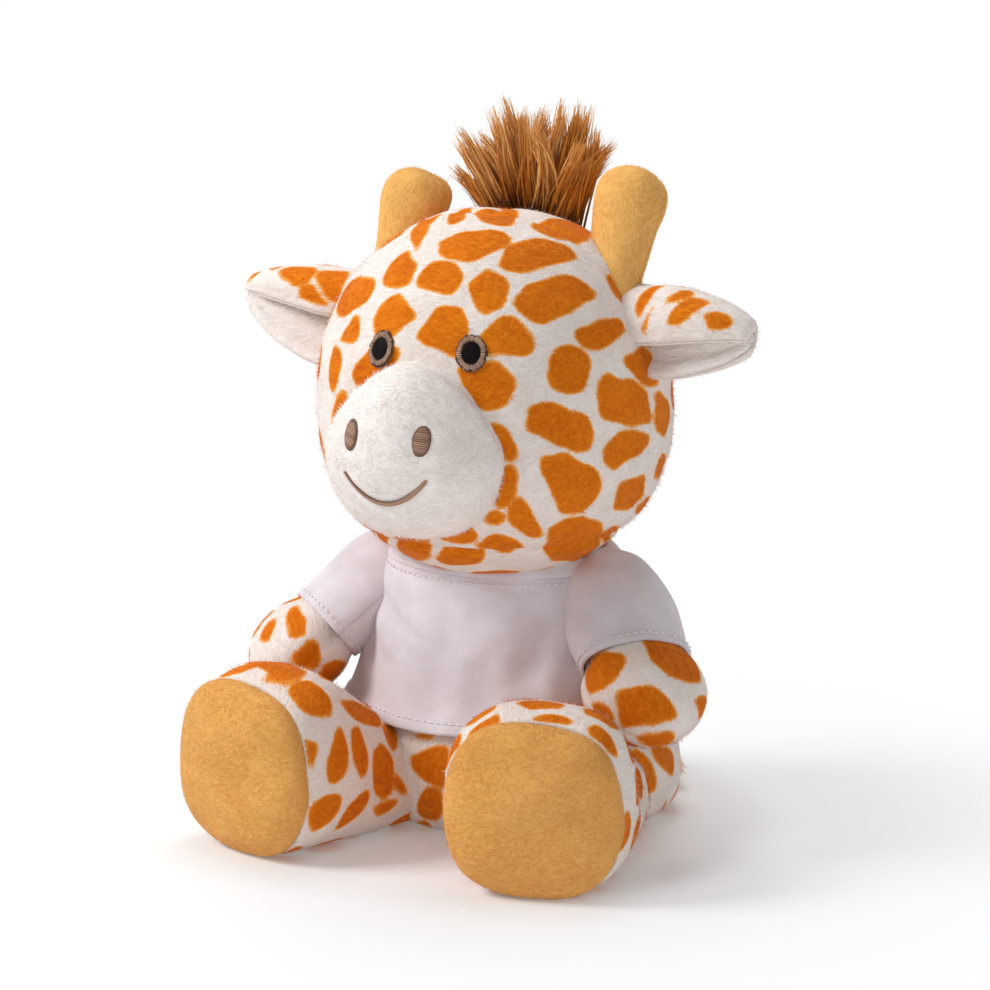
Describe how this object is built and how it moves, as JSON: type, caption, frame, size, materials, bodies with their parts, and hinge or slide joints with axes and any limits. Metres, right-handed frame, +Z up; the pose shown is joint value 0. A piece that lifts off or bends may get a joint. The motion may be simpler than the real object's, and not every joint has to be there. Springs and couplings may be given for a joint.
{
  "type": "plush giraffe",
  "caption": "Seated plush giraffe with a big round head, embroidered face, horns, ears and hair tuft, sewn arms and legs with round soles, and a plain T-shirt.",
  "frame": {"origin": "middle of the toy's outline, on the surface it sits on", "axes": "+Z up through the head, the toy faces -Y, its left side is +X"},
  "size_m": [0.1558, 0.1304, 0.1981],
  "materials": {
    "printed_plush": "short pile plush, printed with orange patches on white",
    "white_plush": "short pile plush",
    "tan_plush": "short pile plush",
    "brown_pile": "long pile",
    "pale_pile": "long pile",
    "cotton": "fine cotton jersey with stitched hems",
    "brown_thread": "satin stitch",
    "black_thread": "satin stitch",
    "fibre": "loose polyester fibre",
    "bean_cloth": "thin woven bag filled with beans"
  },
  "bodies": {
    "torso": {"body_cover": "printed_plush", "body_stuffing": "fibre", "seat_bean_bag": "bean_cloth", "shirt_body": "cotton", "neck_band": "cotton"},
    "neck": {"neck_stuffing": "fibre"},
    "head": {"head_cover": "printed_plush", "head_stuffing": "fibre", "muzzle_cover": "white_plush", "muzzle_stuffing": "fibre", "eye_ring_L": "brown_thread", "eye_ring_R": "brown_thread", "pupil_L": "black_thread", "pupil_R": "black_thread", "nostril_L": "brown_thread", "nostril_R": "brown_thread", "smile": "brown_thread", "horn_cover_L": "tan_plush", "horn_cover_R": "tan_plush", "horn_stuffing_L": "fibre", "horn_stuffing_R": "fibre", "hair_tuft": "brown_pile"},
    "tail": {"tail_cover": "printed_plush", "tail_tuft": "pale_pile"},
    "ear_L": {"ear_back_L": "printed_plush", "ear_lining_L": "white_plush"},
    "arm_L": {"arm_cover_L": "printed_plush", "arm_stuffing_L": "fibre", "shirt_sleeve_L": "cotton"},
    "leg_L": {"leg_cover_L": "printed_plush", "leg_stuffing_L": "fibre", "sole_L": "tan_plush"},
    "ear_R": {"ear_back_R": "printed_plush", "ear_lining_R": "white_plush"},
    "arm_R": {"arm_cover_R": "printed_plush", "arm_stuffing_R": "fibre", "shirt_sleeve_R": "cotton"},
    "leg_R": {"leg_cover_R": "printed_plush", "leg_stuffing_R": "fibre", "sole_R": "tan_plush"}
  },
  "joints": [
    {"name": "head_turn", "type": "hinge", "parent": "torso", "child": "neck", "pos_m": [0, 0.00557, 0.1207], "axis": [0, 0, 1], "range_deg": [-20, 20], "stiffness_Nm_per_rad": 0.15},
    {"name": "head_nod", "type": "hinge", "parent": "neck", "child": "head", "pos_m": [0, 0.00557, 0.1207], "axis": [1, 0, 0], "range_deg": [-8, 8], "stiffness_Nm_per_rad": 0.2},
    {"name": "ear_flap_L", "type": "hinge", "parent": "head", "child": "ear_L", "pos_m": [0.0415, 0.01032, 0.1392], "axis": [-0.3293, 0.2675, 0.9055], "range_deg": [-15, 15], "stiffness_Nm_per_rad": 0.02},
    {"name": "arm_lift_L", "type": "hinge", "parent": "torso", "child": "arm_L", "pos_m": [0.0327, 0.00897, 0.06703], "axis": [-1, 0, 0], "range_deg": [0, 60], "stiffness_Nm_per_rad": 0.06},
    {"name": "leg_drop_L", "type": "hinge", "parent": "torso", "child": "leg_L", "pos_m": [0.03163, -0.01734, 0.003], "axis": [1, 0, 0], "range_deg": [0, 35], "stiffness_Nm_per_rad": 0.1},
    {"name": "ear_flap_R", "type": "hinge", "parent": "head", "child": "ear_R", "pos_m": [-0.0415, 0.01032, 0.1392], "axis": [0.3293, 0.2675, 0.9055], "range_deg": [-15, 15], "stiffness_Nm_per_rad": 0.02},
    {"name": "arm_lift_R", "type": "hinge", "parent": "torso", "child": "arm_R", "pos_m": [-0.0327, 0.00897, 0.06703], "axis": [-1, 0, 0], "range_deg": [0, 60], "stiffness_Nm_per_rad": 0.06},
    {"name": "leg_drop_R", "type": "hinge", "parent": "torso", "child": "leg_R", "pos_m": [-0.03241, -0.01712, 0.003], "axis": [1, 0, 0], "range_deg": [0, 35], "stiffness_Nm_per_rad": 0.1},
    {"name": "tail_swing", "type": "hinge", "parent": "torso", "child": "tail", "pos_m": [0.001, 0.05807, 0.015], "axis": [0, 0, 1], "range_deg": [0, 60], "stiffness_Nm_per_rad": 0.006}
  ]
}
